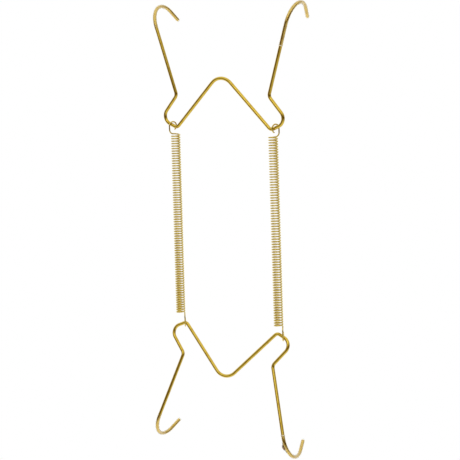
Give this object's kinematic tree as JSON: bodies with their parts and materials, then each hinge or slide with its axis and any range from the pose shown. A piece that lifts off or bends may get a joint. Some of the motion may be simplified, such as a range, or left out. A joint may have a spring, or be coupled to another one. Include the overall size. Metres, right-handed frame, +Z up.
{
  "type": "wire plate hanger",
  "caption": "Spring-loaded wire plate hanger: bent brass wires with sleeved hooks grip a plate's rim above and below, drawn together by extension springs, and the upper peak hangs on a nail.",
  "frame": {"origin": "underside of the upper wire's peak, where the nail carries the hanger", "axes": "+Z up along the springs, -Y the way the hooks reach over the plate's rim, +Y towards the wall, +X to the hanger's right as the wall sees it"},
  "size_m": [0.0882, 0.0439, 0.2462],
  "materials": {
    "brass_wire": "polished brass plating on steel wire",
    "spring_wire": "brass plating on thin spring wire",
    "clear_vinyl": "clear soft vinyl"
  },
  "bodies": {
    "upper_end": {"upper_wire": "brass_wire", "upper_left_sleeve": "clear_vinyl", "upper_right_sleeve": "clear_vinyl"},
    "left_spring": {"left_spring": "spring_wire"},
    "right_spring": {"right_spring": "spring_wire"},
    "lower_end": {"lower_wire": "brass_wire", "lower_left_sleeve": "clear_vinyl", "lower_right_sleeve": "clear_vinyl"}
  },
  "joints": [
    {"name": "upper_fold", "type": "hinge", "parent": "upper_end", "child": "left_spring", "pos_m": [0, 0, -0.02502], "axis": [1, 0, 0], "range_deg": [-120, 120]},
    {"name": "stretch", "type": "slide", "parent": "left_spring", "child": "right_spring", "axis": [0, 0, -1], "range_m": [0, 0.1], "stiffness_N_per_m": 310, "deforming": ["left_spring", "right_spring"]},
    {"name": "lower_fold", "type": "hinge", "parent": "right_spring", "child": "lower_end", "pos_m": [-0.0016, 0.00035, -0.13883], "axis": [0.9998, -0.0062, 0.019], "range_deg": [-120, 120]}
  ]
}
